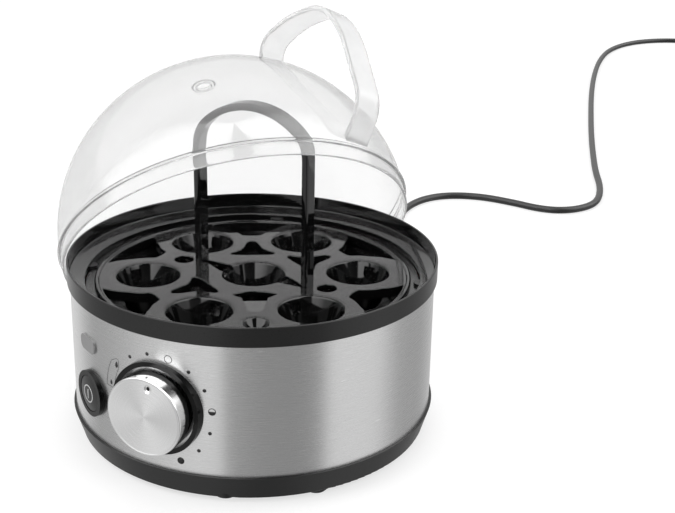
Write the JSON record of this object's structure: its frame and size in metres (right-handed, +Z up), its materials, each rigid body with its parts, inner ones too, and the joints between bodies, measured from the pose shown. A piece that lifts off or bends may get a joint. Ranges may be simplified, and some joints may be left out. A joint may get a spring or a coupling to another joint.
{
  "type": "egg boiler",
  "caption": "Household egg boiler: round steel-clad base with a dial and a push switch, black cup tray with an arch handle, and a clear dome lid that leans open at the back.",
  "frame": {"origin": "centre of the round base, on the surface that its feet stand on", "axes": "+Z up along the axis of the round body, -Y to the front through the dial, +X along the arch of the tray handle, to the right as seen from the front"},
  "size_m": [0.3073, 1.27, 0.2184],
  "materials": {
    "black_base": "satin moulded black",
    "gloss_black": "polished black",
    "foot_rubber": "matt",
    "brushed_band": "horizontally brushed",
    "zinc_steel": "bright zinc",
    "coated_bowl": "dark non-stick coating",
    "silicone": "matt",
    "heater_tube": "matt tube",
    "phenolic": "matt",
    "fuse_case": "matt",
    "spun_aluminium": "spun face, polished side",
    "knob_plastic": "matt",
    "board": "satin",
    "switch_grey": "satin dark grey",
    "lens_grey": "frosted",
    "lamp_glass": "clear",
    "nylon": "matt natural",
    "clear_plastic": "clear and polished",
    "cord_pvc": "satin black",
    "lead_pvc": "matt white",
    "plug_plastic": "satin black",
    "pin_brass": "nickel plated"
  },
  "bodies": {
    "base": {"base_pan": "black_base", "feet": "foot_rubber", "base_screws": "zinc_steel", "steel_band": "brushed_band", "top_ring": "gloss_black", "heating_bowl": "coated_bowl", "bowl_seal": "silicone", "heater_element": "heater_tube", "clamp_bar": "zinc_steel", "bar_fasteners": "zinc_steel", "thermostat": "phenolic", "thermal_fuse": "fuse_case", "fuse_strap": "zinc_steel", "dial_ring": "gloss_black", "control_unit": "phenolic", "control_board": "board", "buzzer": "knob_plastic", "switch_housing": "gloss_black", "indicator_lens": "lens_grey", "indicator_lamp": "lamp_glass", "terminal_block": "nylon", "cord_clamp": "nylon", "cord_stub": "cord_pvc", "strain_relief": "cord_pvc", "inner_leads": "lead_pvc", "power_cord": "cord_pvc", "plug_body": "plug_plastic", "plug_pins": "pin_brass"},
    "knob": {"knob_cap": "spun_aluminium", "knob_core": "knob_plastic"},
    "button": {"switch_button": "switch_grey"},
    "tray": {"egg_tray": "gloss_black", "egg_cups": "gloss_black", "tray_handle": "gloss_black"},
    "lid": {"lid_dome": "clear_plastic", "lid_handle": "clear_plastic"}
  },
  "joints": [
    {"name": "dial_turn", "type": "hinge", "parent": "base", "child": "knob", "pos_m": [0, -0.09, 0.0489], "axis": [0, 1, 0], "range_deg": [-93, 142]},
    {"name": "switch_press", "type": "slide", "parent": "base", "child": "button", "axis": [0.4787, 0.878, 0], "range_m": [0, 0.002], "stiffness_N_per_m": 400, "springref_m": -0.002},
    {"name": "tray_lift", "type": "slide", "parent": "base", "child": "tray", "axis": [-0.0184, 0.0186, 0.9997], "range_m": [0, 0.12]},
    {"name": "lid_lift", "type": "slide", "parent": "tray", "child": "lid", "axis": [-0.5127, 0.5199, 0.6833], "range_m": [0, 0.1]}
  ]
}
